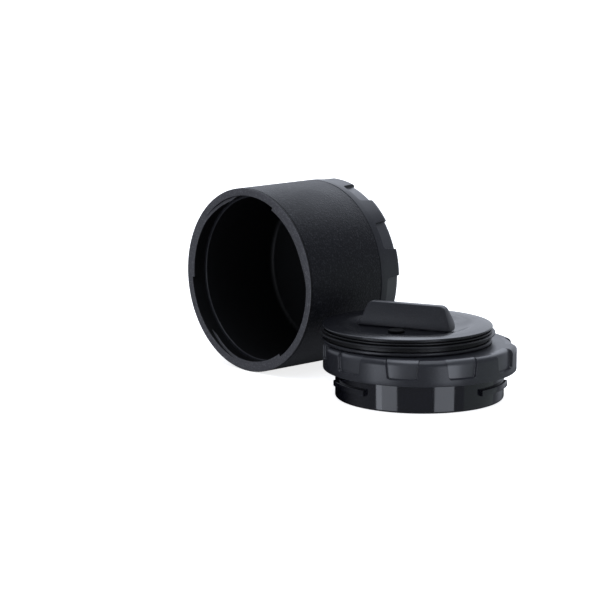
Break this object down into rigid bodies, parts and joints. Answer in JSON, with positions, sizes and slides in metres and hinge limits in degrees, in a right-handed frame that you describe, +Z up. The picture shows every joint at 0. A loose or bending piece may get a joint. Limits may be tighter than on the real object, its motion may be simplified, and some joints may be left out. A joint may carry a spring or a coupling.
{
  "type": "storage canister",
  "caption": "Round storage canister lying open, with a bayonet lid and an airtight plunger that has a wiper seal, an air valve and a folding handle.",
  "frame": {"origin": "on the floor, at the middle of the box round the whole set", "axes": "+X from the lying body to the lid, +Y the way the body's base faces (its mouth faces -Y), +Z up"},
  "size_m": [0.198, 0.0964, 0.0964],
  "materials": {
    "coated_metal": "fine-textured matte coat",
    "satin_plastic": "satin moulded",
    "gloss_plastic": "smooth, glossy",
    "liner_plastic": "satin moulded",
    "seal_rubber": "matte silicone rubber",
    "steel": "plain drawn steel"
  },
  "bodies": {
    "canister": {"outer_sleeve": "coated_metal", "bayonet_collar": "satin_plastic", "inner_liner": "liner_plastic", "base_ring": "satin_plastic", "base_plate": "satin_plastic", "base_screw_1": "steel", "base_screw_2": "steel", "base_screw_3": "steel"},
    "lid": {"lid_cap": "satin_plastic", "lid_plug": "gloss_plastic", "lid_gasket": "seal_rubber", "lid_screw_1": "steel", "lid_screw_2": "steel", "lid_screw_3": "steel"},
    "plunger": {"plunger_plate": "satin_plastic", "wiper_seal": "seal_rubber", "plunger_base": "satin_plastic", "hinge_pin": "steel"},
    "handle": {"handle": "satin_plastic"},
    "valve": {"valve_umbrella": "seal_rubber"}
  },
  "joints": [
    {"name": "lid_lift", "type": "slide", "parent": "canister", "child": "lid", "axis": [0, 0, 1], "range_m": [0, 0.1]},
    {"name": "plunger_lift", "type": "slide", "parent": "lid", "child": "plunger", "axis": [0, 0, 1], "range_m": [0, 0.1]},
    {"name": "handle_fold", "type": "hinge", "parent": "plunger", "child": "handle", "pos_m": [0.0439, -0.002, 0.0384], "axis": [-0.9265, -0.3762, 0], "range_deg": [0, 90]},
    {"name": "valve_lift", "type": "slide", "parent": "plunger", "child": "valve", "axis": [0, 0, 1], "range_m": [0, 0.0008]}
  ]
}
